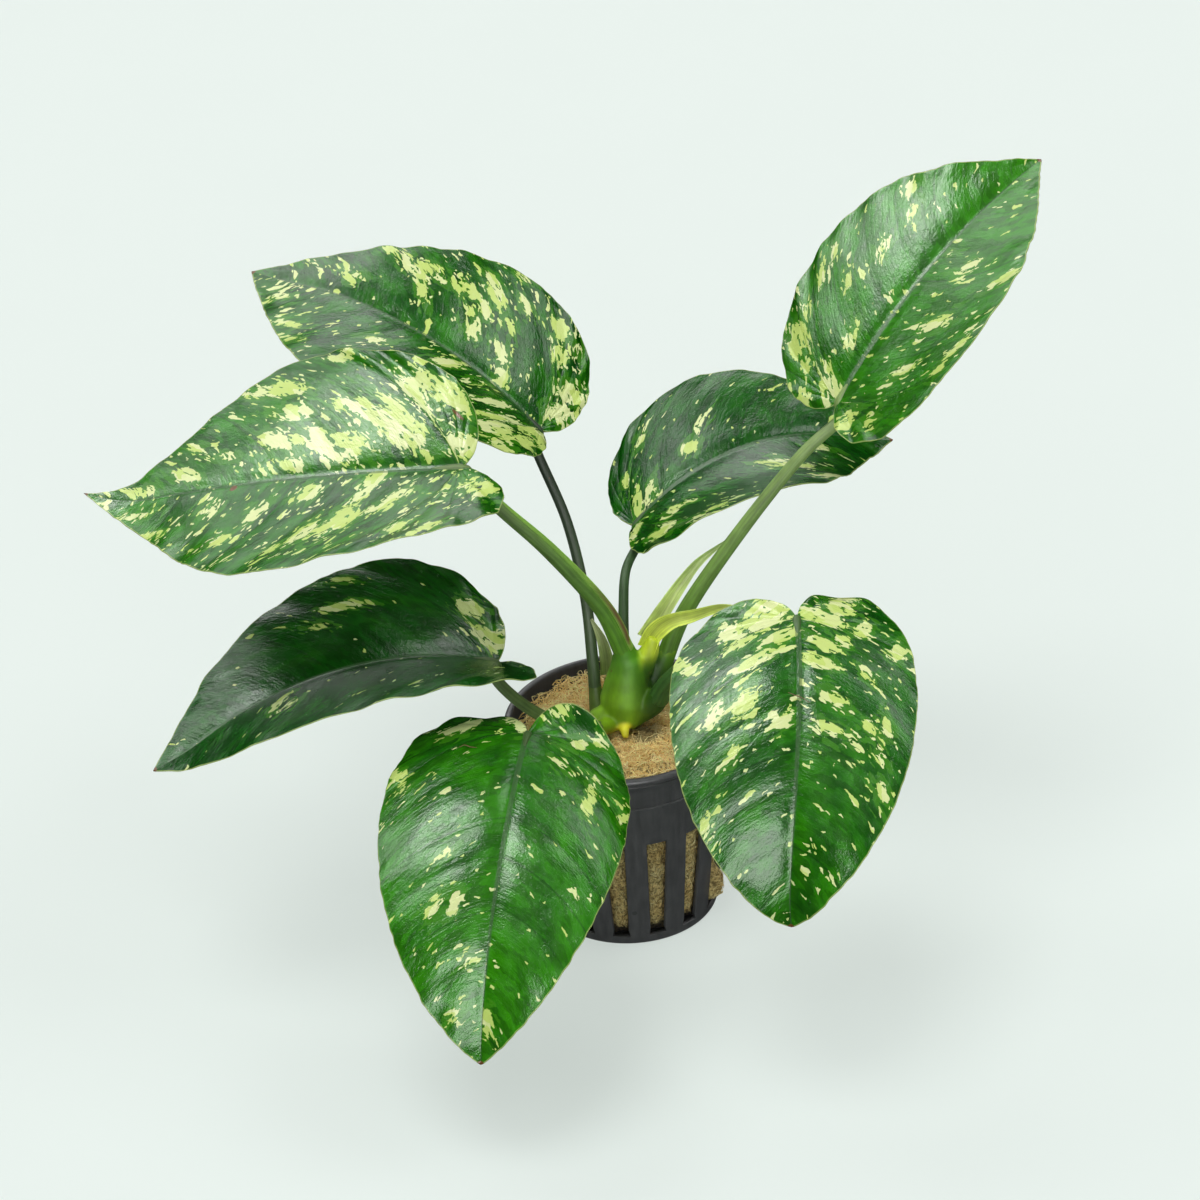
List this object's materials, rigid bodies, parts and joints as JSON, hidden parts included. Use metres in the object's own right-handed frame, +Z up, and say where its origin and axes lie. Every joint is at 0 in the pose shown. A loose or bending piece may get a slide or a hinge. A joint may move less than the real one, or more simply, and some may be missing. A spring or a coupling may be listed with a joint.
{
  "type": "potted anubias barteri",
  "caption": "Potted variegated anubias: heart-shaped mottled leaves on arching stalks from a swollen crown, rooted in mineral wool in a slotted black net pot",
  "frame": {"origin": "middle of the pot's underside, where the pot stands on its surface", "axes": "+Z up along the pot's axis, -Y towards the side with the two hanging front leaves, +X to the right seen from that side"},
  "size_m": [0.221, 0.1787, 0.1635],
  "materials": {
    "pot_plastic": "satin black moulded plastic",
    "mineral_wool": "matted tan mineral-wool fibre",
    "crown_skin": "smooth moist green stem skin",
    "stalk_skin": "smooth green stalk skin",
    "leaf_skin": "waxy green leaf skin with pale yellow variegation",
    "sheath_skin": "thin pale yellow-green sheath"
  },
  "bodies": {
    "root": {"net_pot": "pot_plastic", "growing_medium": "mineral_wool", "crown": "crown_skin", "petiole_back_left": "stalk_skin", "petiole_left": "stalk_skin", "petiole_right": "stalk_skin", "petiole_low_left": "stalk_skin", "petiole_front_left": "stalk_skin", "petiole_front_right": "stalk_skin", "petiole_back_right": "stalk_skin", "blade_back_left": "leaf_skin", "blade_left": "leaf_skin", "blade_right": "leaf_skin", "blade_low_left": "leaf_skin", "blade_front_left": "leaf_skin", "blade_front_right": "leaf_skin", "blade_back_right": "leaf_skin", "sheath_tall": "sheath_skin", "sheath_curved": "sheath_skin", "sheath_short": "sheath_skin"}
  },
  "joints": []
}
